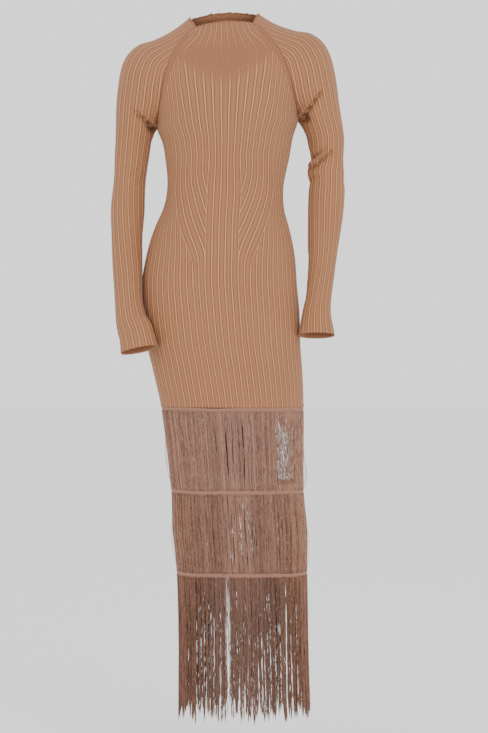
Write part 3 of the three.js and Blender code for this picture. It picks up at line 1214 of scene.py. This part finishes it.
def build_band_of_rings(
    name: str, rings: list[np.ndarray], counts: np.ndarray, runs: list[float]
) -> bpy.types.Object:
    """Make a closed band whose cross-section is a loop of rings.

    Args:
        name: Name of the piece.
        rings: The rings, each with the same number of points in millimetres, going once round the section.
        counts: The count across at each point of a ring, and at its end.
        runs: The run along the section at each ring, and at its end.

    Returns:
        The new object.
    """
    number, columns = len(rings), len(rings[0])
    faces, coords = [], []
    for r in range(number):
        below = (r + 1) % number
        for c in range(columns):
            beside = (c + 1) % columns
            upper, lower = r * columns, below * columns
            faces.append((upper + c, lower + c, lower + beside, upper + beside))
            coords += [
                (counts[c], runs[r]), (counts[c], runs[r + 1]),
                (counts[c + 1], runs[r + 1]), (counts[c + 1], runs[r]),
            ]
    return make_mesh(name, np.concatenate(rings) * MM, faces, coords)


@dataclass(frozen=True)
class NeckEdge:
    """The small scalloped edge that stands on the neck edge of the knit, with a few taller points."""

    form: WornForm
    columns: int = 720
    scallops: int = 58
    height: float = 3.4
    wave: float = 0.45  # rise of each scallop
    lean: float = 0.8  # lean of each scallop
    peak_width: float = 0.0045
    # Place round the neck, from the right front seam over the front, and rise of the taller points
    peaks: tuple[tuple[float, float], ...] = (
        (0.008, 2.2), (0.245, 2.6), (0.258, 1.4), (0.272, 2.6), (0.34, 4.4), (0.43, 1.8), (0.52, 2.4),
        (0.61, 1.6), (0.7, 2.2), (0.8, 1.8), (0.9, 3.4),
    )
    # Share of the rise, distance outwards, and share of the lean, going once round the section
    section: tuple[tuple[float, float, float], ...] = (
        (-0.2, 0.0, 0.0), (0.2, 0.35, 0.2), (0.6, 0.4, 0.7), (1.0, 0.3, 1.0), (1.05, -0.35, 1.0),
        (0.85, -0.95, 0.9), (0.5, -1.2, 0.5), (0.0, -1.6, 0.0), (-0.3, -1.4, 0.0),
    )

    def neck_line(self, share: float) -> np.ndarray:
        """Trace all four knit pieces in one row.

        Args:
            share: Share of the way from the neck edge to the underarm.

        Returns:
            Evenly divided points.
        """
        front, back = (self.form.yoke_body_line(share, facing)[0] for facing in Facing)
        left = self.form.yoke_sleeve_line(share, Side.LEFT)
        right = self.form.yoke_sleeve_line(share, Side.RIGHT)
        line = np.concatenate([front, left[1:], back[::-1][1:], right[::-1][1:]])
        return divided_evenly(line, self.columns)

    def build(self, material: bpy.types.Material) -> bpy.types.Object:
        """Model and dress the edge.

        Args:
            material: The knit.

        Returns:
            The finished piece.
        """
        edge, lower = self.neck_line(0.0), self.neck_line(0.08)
        up = edge - lower
        up /= np.linalg.norm(up, axis=1, keepdims=True)
        out = np.cross(np.roll(edge, -1, axis=0) - np.roll(edge, 1, axis=0), up)
        out /= np.linalg.norm(out, axis=1, keepdims=True)
        share = np.arange(self.columns) / self.columns
        turn = 2 * np.pi * share * self.scallops
        drift = 1.4 * np.sin(2 * np.pi * share * 5 + 0.7)
        rise = self.height + self.wave * np.sin(turn + drift) + 0.3 * np.sin(2 * np.pi * share * 23)
        for place, peak in self.peaks:
            rise += peak * np.exp(-(((share - place) / self.peak_width) ** 2))
        lean = self.lean * np.cos(turn + drift) + 0.5 * np.sin(2 * np.pi * share * 9)
        rings = [
            edge + up * (rise * tall)[:, None] + out * (distance + lean * share_of_lean)[:, None]
            for tall, distance, share_of_lean in self.section
        ]
        counts = np.linspace(0, self.scallops, self.columns + 1)
        runs = list(np.linspace(0, 0.01, len(self.section) + 1))
        obj = build_band_of_rings("neck_scallops", rings, counts, runs)
        return dress_piece(obj, material, "neck_edging")


@dataclass(frozen=True)
class HeaderBand:
    """A narrow tape all round the body, from which a fringe tier hangs."""

    number: int
    top: float
    form: WornForm
    height: float = 8.0
    columns: int = 480
    loops: int = 360
    # Share of the height and distance outwards, going once round the section
    section: tuple[tuple[float, float], ...] = (
        (0.0, -0.6), (0.04, -0.1), (0.1, 0.3), (0.18, 0.3), (0.26, -0.1), (0.6, -0.25), (0.95, -0.2),
        (1.0, -0.5), (1.0, -1.5), (0.5, -1.8), (0.0, -1.6),
    )

    def build(self, material: bpy.types.Material) -> bpy.types.Object:
        """Model and dress the band.

        Args:
            material: The tape.

        Returns:
            The finished piece.
        """
        share = np.arange(self.columns) / self.columns
        turn = 2 * np.pi * share
        wavy = 0.7 * np.sin(3 * turn + self.number) + 0.5 * np.sin(7 * turn + 2.1 * self.number)
        rings = []
        for down, distance in self.section:
            ring = divided_evenly(self.form.ring(self.top - self.height * down), self.columns)
            ring = ring + level_outwards(ring) * distance
            ring[:, 2] += wavy
            rings.append(ring)
        counts = np.linspace(0, self.loops, self.columns + 1)
        runs = [down for down, _ in self.section] + [0.0]
        obj = build_band_of_rings(f"band_{self.number}_tape", rings, counts, runs)
        return dress_piece(obj, material, f"band_{self.number}")


@dataclass(frozen=True)
class Parting:
    """A place in the front where threads stand apart, in millimetres."""

    place: float  # distance from the middle of the front, along the ring
    top: float
    foot: float
    half_width: float
    reach: float  # how far away threads still move aside

    def part(self, along: np.ndarray, height: np.ndarray) -> np.ndarray:
        """Work out how far the threads move aside.

        Args:
            along: Each thread's distance along the front.
            height: Heights of its points.

        Returns:
            The move along the front at each point.
        """
        share = np.clip((self.top - height) / (self.top - self.foot), 0, 1)
        opened = np.sin(np.pi * share) ** 0.7 * self.half_width
        away = along[:, None] - self.place
        return np.sign(away) * opened[None, :] * np.exp(-np.abs(away) / self.reach)


@dataclass(frozen=True)
class ThinPlace:
    """An upright strip of a tier, in front and behind, where finer threads let the light through."""

    low: float
    high: float
    kept: float  # share of the threads that stay
    fineness: float  # share of their width that is left
    softness: float = 4.0

    def inside(self, across: np.ndarray) -> np.ndarray:
        """Say how far inside the strip some places are.

        Args:
            across: Their distances to the side.

        Returns:
            Values from 0, outside, to 1.
        """
        from_low = smooth_step(self.low - self.softness, self.low + self.softness, across)
        return from_low * smooth_step(self.high + self.softness, self.high - self.softness, across)


@dataclass(frozen=True)
class Threads:
    """The middle lines of some threads, with their outward directions, widths and shades."""

    points: np.ndarray
    outwards: np.ndarray
    widths: np.ndarray
    shades: np.ndarray


@dataclass(frozen=True)
class FringeTier:
    """A tier of threads, held at both ends or hanging free to ragged tips."""

    number: int
    top: float
    foot: float
    form: WornForm
    threads: int
    levels: int
    thickness: float
    partings: tuple[Parting, ...] = ()
    thin_places: tuple[ThinPlace, ...] = ()
    strays: tuple[tuple[float, float, float, float], ...] = ()  # place along the ring, top, foot, bulge
    free: bool = False
    tip: float = 0.35  # width left at a free end
    clump: tuple[float, float] = (4.0, 12.0)  # least and greatest width of a clump
    gather: float = 0.08  # share by which a clump narrows
    drift: float = 0.4  # how far clumps stray to the side
    waves: tuple[tuple[float, float], ...] = ((61.0, 1.2), (23.0, 0.8))  # length along the ring, and size
    crimp: float = 0.45  # how far neighbouring threads stray
    wanderers: float = 0.1  # share of threads that stray further
    wander: float = 2.5  # and how much further they do
    jitter: float = 0.8  # share of their even spacing by which threads are shifted
    swell: tuple[float, float] = (1.0, 1.0)  # width near the top and further down
    spread: tuple[float, float] = (0.85, 1.15)  # thinnest and thickest thread
    layers: tuple[float, ...] = (-0.2, -1.1, -2.0)  # distances outwards of the layers of threads
    ragged: tuple[float, float] = (3.5, 6.5)  # how unevenly the tips of threads and of clumps end
    pointed: float = 14.0  # how far the tips at the edge of a clump end above its middle
    stray_width: float = 0.4
    seed: int = 1

    def base_thread(self) -> tuple[np.ndarray, list[tuple[int, ...]]]:
        """Model one upright thread of unit length, as a three-sided bar with a step at each level.

        Returns:
            Its points, the last coordinate running from 0 at the top to 1, and its faces.
        """
        bpy.ops.object.select_all(action="DESELECT")
        bpy.ops.mesh.primitive_circle_add(vertices=3, radius=1.0, fill_type="NGON", location=(0, 0, 0))
        obj = bpy.context.object
        bpy.ops.object.mode_set(mode="EDIT")
        bpy.ops.mesh.select_all(action="SELECT")
        for _ in range(self.levels):
            bpy.ops.mesh.extrude_region_move(TRANSFORM_OT_translate={"value": (0, 0, 1.0 / self.levels)})
        bpy.ops.mesh.select_all(action="SELECT")
        bpy.ops.mesh.normals_make_consistent(inside=False)
        bpy.ops.object.mode_set(mode="OBJECT")
        points = np.array([v.co for v in obj.data.vertices])
        faces = [tuple(p.vertices) for p in obj.data.polygons]
        mesh = obj.data
        bpy.data.objects.remove(obj)
        bpy.data.meshes.remove(mesh)
        return points, faces

    def ring_grid(self, heights: np.ndarray, number: int = 720) -> tuple[np.ndarray, np.ndarray, float]:
        """Divide the body's rings evenly.

        Args:
            heights: Heights of the rings.
            number: Divisions of each.

        Returns:
            The points, their outward directions, and the girth of the first ring.
        """
        lines = [self.form.ring(float(height)) for height in heights]
        grid = [divided_evenly(line, number) for line in lines]
        outs = [level_outwards(ring) for ring in grid]
        return np.array(grid), np.array(outs), float(lengths_along(lines[0])[-1])

    def sideways(
        self, along: np.ndarray, girth: float, heights: np.ndarray, rng: np.random.Generator
    ) -> tuple[np.ndarray, np.ndarray]:
        """Work out how far each thread strays to the side on its way down.

        Args:
            along: Each thread's distance along the ring.
            girth: The ring's length.
            heights: Heights of the threads' points.
            rng: Source of chance.

        Returns:
            The move along the ring at each point, and how far each free tip ends above the mean.
        """
        down = np.linspace(0, 1, self.levels + 1)[None, :]
        if self.free:
            give = 0.15 * smooth_step(0, 0.12, down) + 0.85 * down**0.8
        else:
            give = np.sin(np.pi * down) ** 0.8
        widths = rng.uniform(*self.clump, int(girth / self.clump[0]) + 2)
        edges = np.cumsum(widths)
        which = np.searchsorted(edges, along)
        off_middle = along - (edges[which] - widths[which] / 2)
        tightness = self.gather * rng.uniform(0.5, 1.5, len(widths))[which]
        drift = rng.normal(0, self.drift, len(widths))[which]
        side = (drift - off_middle * tightness)[:, None] * give
        for wave_length, size in self.waves:
            start = rng.random(2) * 6.28
            bends = np.sin(down * 5 + start[0] + along[:, None] / wave_length)
            side += size * np.sin(2 * np.pi * along / wave_length + start[1])[:, None] * give * bends
        wandering = rng.random(len(along)) < self.wanderers
        crimp = rng.normal(0, self.crimp, (len(along), self.levels + 1))
        crimp[:, 1:] += 0.5 * crimp[:, :-1]
        side += crimp * np.minimum(give * 3, 1) * np.where(wandering, self.wander, 1.0)[:, None]
        # Threads behind, and those that wander, count as far from every parting
        front = np.where((along > girth / 2) | wandering, 1e6, along - girth / 4)
        for parting in self.partings:
            side += parting.part(front, heights)
        of_threads, of_clumps = self.ragged
        tips = rng.normal(0, of_threads, len(along)) + rng.normal(0, of_clumps, len(widths))[which]
        return side, tips + self.pointed * np.abs(off_middle) / widths[which] - 3

    def lay(self) -> Threads:
        """Lay out the tier's threads side by side.

        Returns:
            The threads.
        """
        rng = np.random.default_rng(self.seed)
        heights = np.linspace(self.top, self.foot, self.levels + 1)
        grid, outs, girth = self.ring_grid(heights)
        number = grid.shape[1]
        along = (np.arange(self.threads) + self.jitter * rng.random(self.threads)) / self.threads * girth
        side, tips = self.sideways(along, girth, heights, rng)
        place = ((along[:, None] + side) / girth * number) % number
        first = np.floor(place).astype(int) % number
        part = (place - np.floor(place))[..., None]
        level = np.arange(self.levels + 1)[None, :]
        points = grid[level, first] * (1 - part) + grid[level, (first + 1) % number] * part
        outwards = outs[level, first]
        layer = np.array(self.layers)[rng.permutation(self.threads) % len(self.layers)]
        points = points + outwards * (layer[:, None] + 0.4 * np.sin(side))[..., None]
        if self.free:
            points[..., 2] += tips[:, None] * np.linspace(0, 1, self.levels + 1) ** 2
        swell = np.interp(np.linspace(0, 1, self.levels + 1), [0.05, 0.4], self.swell)
        widths = rng.uniform(*self.spread, self.threads)[:, None] * swell[None, :]
        shades = rng.random(self.threads)
        keep = np.ones(self.threads, bool)
        across = points[:, self.levels // 2, 0]
        for thin in self.thin_places:
            inside = thin.inside(across)
            keep &= rng.random(self.threads) > inside * (1 - thin.kept)
            fine = smooth_step(self.foot + 6, self.foot + 24, heights)
            fine = fine * smooth_step(self.top + 20, self.top - 50, heights)
            widths *= 1 - (1 - thin.fineness) * inside[:, None] * fine[None, :]
            # Threads in the thin place are painted lighter, a painted stand-in for the pale backdrop seen
            # through them
            shades *= 1 - 0.8 * inside
        return Threads(points[keep], outwards[keep], widths[keep], shades[keep])

    def lay_strays(self) -> Threads:
        """Lay out the loose threads that bulge away from the rest.

        Returns:
            The threads.
        """
        points, outs = [], []
        down = np.linspace(0, 1, self.levels + 1)
        for place, top, foot, bulge in self.strays:
            grid, out, _ = self.ring_grid(np.linspace(top, foot, self.levels + 1), 360)
            column = int(place * 360) % 360
            arc = np.sin(np.pi * down**1.4) ** 0.9 * bulge
            points.append(grid[:, column] + out[:, column] * arc[:, None])
            outs.append(out[:, column])
        widths = np.full((len(points), self.levels + 1), self.stray_width)
        return Threads(np.array(points), np.array(outs), widths, np.zeros(len(points)))

    def build(self, material: bpy.types.Material) -> bpy.types.Object:
        """Model and dress the tier.

        Args:
            material: The yarn.

        Returns:
            The finished piece.
        """
        sets = [self.lay()] + ([self.lay_strays()] if self.strays else [])
        points = np.concatenate([threads.points for threads in sets])
        outs = np.concatenate([threads.outwards for threads in sets])
        widths = np.concatenate([threads.widths for threads in sets])
        shades = np.concatenate([threads.shades for threads in sets])
        base, base_faces = self.base_thread()
        level = np.round(base[:, 2] * self.levels).astype(int)
        across = np.cross(outs, [0, 0, 1.0])
        taper = np.ones(self.levels + 1)
        taper[-1] = self.tip if self.free else 1.0
        radius = self.thickness / 2 * widths[:, level] * taper[level][None, :]
        spun = (
            points[:, level]
            + across[:, level] * (base[:, 0][None, :] * radius)[..., None]
            + outs[:, level] * (base[:, 1][None, :] * radius)[..., None]
        )
        corners = [corner for face in base_faces for corner in face]
        starts = range(0, len(points) * len(base), len(base))
        faces = [tuple(start + i for i in face) for start in starts for face in base_faces]
        drop = (self.top - self.foot) * MM
        coords = [(float(shade), float(base[i, 2]) * drop) for shade in shades for i in corners]
        obj = make_mesh(f"fringe_{self.number}_threads", spun.reshape(-1, 3) * MM, faces, coords)
        return dress_piece(obj, material, f"fringe_{self.number}")


@dataclass(frozen=True)
class Studio:
    """A plain pale floor, soft lights, and the camera in front of the dress."""

    floor_height: float = -1.44
    brightness: float = 1.45
    camera_place: tuple[float, float, float] = (0.036, -4.5, -0.643)
    lens: float = 110.5

    def lamp(self, name: str, place: tuple[float, float, float], size: float, power: float) -> None:
        """Add a square area light that faces the dress.

        Args:
            name: Its name.
            place: Where it stands.
            size: Its side.
            power: Its power in watts.
        """
        bpy.ops.object.light_add(type="AREA", location=place)
        lamp = bpy.context.object
        lamp.name = name
        lamp.data.size = size
        lamp.data.energy = power
        aim = Vector((0.0, 0.0, -0.65)) - Vector(place)
        lamp.rotation_euler = aim.to_track_quat("-Z", "Y").to_euler()

    def build(self) -> None:
        """Set up the floor, the lights, the background and the camera."""
        bpy.ops.mesh.primitive_plane_add(size=80, location=(0, 0, self.floor_height))
        floor = bpy.context.object
        floor.name = "floor"
        floor.data.materials.append(Plain("pale_floor", (0.93, 0.93, 0.93, 1.0)).build())
        world = bpy.data.worlds.new("pale_room")
        bpy.context.scene.world = world
        world.use_nodes = True
        background = world.node_tree.nodes["Background"]
        background.inputs["Color"].default_value = (1.0, 1.0, 1.0, 1.0)
        background.inputs["Strength"].default_value = self.brightness
        self.lamp("key", (1.4, -3.2, 0.6), 1.6, 45)
        self.lamp("fill", (-2.2, -2.6, 0.2), 2.0, 15)
        bpy.ops.object.camera_add(location=self.camera_place, rotation=(math.pi / 2, 0, 0))
        camera = bpy.context.object
        camera.name = "photo_view"
        camera.data.lens = self.lens
        camera.data.sensor_width = 36
        bpy.context.scene.camera = camera


RIGHT_RIBS = SmoothTable(
    ("height", "ribs", "turn"),
    ((-160, 21.3, 0.2), (-177, 19.8, -0.1), (-210, 18.7, -0.25), (-310, 19.3, -0.1), (-410, 16.6, -0.08),
     (-510, 15.8, 0.24), (-611, 15.8, 0.3)),
)
LEFT_RIBS = SmoothTable(
    ("height", "ribs", "turn"),
    ((-160, 22, 0.2), (-176, 21.5, -0.15), (-210, 20.3, -0.1), (-310, 19.2, 0.14), (-410, 18.9, -0.33),
     (-510, 16.4, -0.5), (-582, 16.4, -0.5)),
)
# Each fold: start and end, lift, groove, offset, lift width, steep, soft, deepen, fades and facing
RIGHT_FOLDS = (
    # Armpit fold with its pocket, gathers in the crook of the elbow, and the armpit fold behind
    Fold((-186, -125), (-126, -174), 2.4, 4.0, -5.0, 3.4, 3.6, 7.0, 1.0, (0.25, 0.02)),
    Fold((-156, -158), (-136, -178), 0, 6.0, -3.0, 3.0, 5.0, 7.0, 0, (0.4, 0.4)),
    Fold((-166, -258), (-196, -272), 1.4, 1.6, -4.0, 3.5, 2.5, 6.0, 0, (0.1, 0.6)),
    Fold((-164, -282), (-188, -292), 1.0, 1.2, -4.0, 3.5, 2.5, 6.0, 0, (0.1, 0.6)),
    Fold((-182, -128), (-134, -168), 1.5, 3.0, -4.0, 3.0, 2.5, 9.0, 1.0, (0.35, 0.1), Facing.BACK),
    Fold((-168, -262), (-202, -270), 1.2, 1.5, -4.0, 3.5, 3.0, 7.0, 0, (0.1, 0.6), Facing.BACK),
)
LEFT_FOLDS = (
    # Armpit fold with its pocket, the elbow fold with a groove on both sides, and the same behind
    Fold((192, -86), (142, -150), 2.8, 4.2, 5.0, 3.4, 3.6, 7.0, 1.0, (0.25, 0.02)),
    Fold((164, -142), (150, -160), 0, 6.0, 3.0, 3.0, 6.0, 7.0, 0, (0.4, 0.4)),
    Fold((213, -206), (162, -244), 3.4, 3.6, 6.0, 3.6, 3.4, 6.0, 0.6, (0.15, 0.05)),
    Fold((206, -211), (166, -240), 0, 2.6, -6.0, 3.0, 3.2, 5.0, 0.6, (0.4, 0.1)),
    Fold((164, -263), (186, -260), 0.8, 2.6, -4.0, 3.0, 4.0, 6.0, 0, (0.1, 0.7)),
    Fold((186, -106), (144, -154), 1.5, 3.2, 4.0, 3.0, 2.5, 9.0, 1.0, (0.35, 0.1), Facing.BACK),
    Fold((208, -222), (166, -252), 1.8, 2.2, 5.0, 3.2, 3.0, 7.0, 0.3, (0.3, 0.1), Facing.BACK),
)
FORM = WornForm()
BAND_TOPS = (-724.3, -887.3, -1050.3)
TIER_1 = FringeTier(
    number=1, top=-731, foot=-889, form=FORM, threads=1450, levels=15, thickness=1.6, seed=11,
    partings=(
        Parting(-17, -740, -884, 2.0, 6.0), Parting(-3, -738, -850, 1.5, 5.0),
        Parting(17, -736, -884, 2.0, 6.0), Parting(-62, -760, -885, 0.8, 6.0),
        Parting(52, -770, -885, 0.8, 6.0),
    ),
    thin_places=(ThinPlace(99, 139, 0.95, 0.32),),
    strays=(
        (0.998, -775, -872, 4.5), (0.003, -770, -868, 5.5), (0.006, -782, -878, 3.5),
        (0.494, -805, -886, 5.0), (0.498, -815, -885, 6.5), (0.502, -826, -888, 7.5),
        (0.506, -800, -880, 4.5),
    ),
)
TIER_2 = FringeTier(
    number=2, top=-894, foot=-1052, form=FORM, threads=1450, levels=15, thickness=1.6, seed=22,
    partings=(
        Parting(-15, -920, -1045, 1.5, 5.0), Parting(2, -905, -1040, 1.2, 5.0),
        Parting(12, -915, -1045, 1.2, 5.0), Parting(24, -930, -1040, 1.2, 5.0),
    ),
    thin_places=(ThinPlace(0, 58, 0.75, 0.85),),
    strays=((0.0, -950, -1040, 4.0), (0.004, -940, -1030, 5.0), (0.502, -960, -1046, 4.0)),
)
TIER_3 = FringeTier(
    number=3, top=-1057, foot=-1330, form=FORM, threads=1180, levels=26, thickness=1.25, seed=33,
    free=True, clump=(2.0, 6.0), gather=0.35, drift=1.6, crimp=0.5, swell=(1.35, 0.95),
    partings=tuple(
        Parting(place, top, -1500, half_width, reach)
        for place, top, half_width, reach in (
            (-60, -1090, 0.9, 5.0), (-31, -1070, 1.3, 6.0), (-5, -1080, 1.0, 5.0), (7, -1080, 1.0, 5.0),
            (50, -1080, 1.0, 5.0), (70, -1090, 0.9, 5.0), (88, -1090, 0.5, 5.0),
        )
    ),
    thin_places=(ThinPlace(-2, 10, 0.7, 0.85),),
)


def main() -> None:
    """Build the dress from the top down, and then the studio."""
    knit = RibKnit().build()
    tape = HeaderTape().build()
    yarns = [
        FringeYarn("yarn_1", srgb(182, 138, 116), srgb(112, 75, 60)),
        FringeYarn("yarn_2", srgb(170, 126, 104), srgb(98, 63, 49)),
        FringeYarn("yarn_3", srgb(150, 108, 86), srgb(78, 47, 35)),
    ]
    front = BodyPanel(Facing.FRONT, FORM).build(knit)
    back = BodyPanel(Facing.BACK, FORM).build(knit)
    right = RaglanSleeve(Side.RIGHT, FORM, RIGHT_RIBS, RIGHT_FOLDS).build(knit)
    left = RaglanSleeve(Side.LEFT, FORM, LEFT_RIBS, LEFT_FOLDS).build(knit)
    edging = NeckEdge(FORM).build(knit)
    bands = [HeaderBand(number, top, FORM).build(tape) for number, top in enumerate(BAND_TOPS, 1)]
    tiers = [tier.build(yarn.build()) for tier, yarn in zip((TIER_1, TIER_2, TIER_3), yarns)]
    Studio().build()


if __name__ == "__main__":
    logging.basicConfig(level=logging.INFO, format="%(name)s %(message)s")
    main()
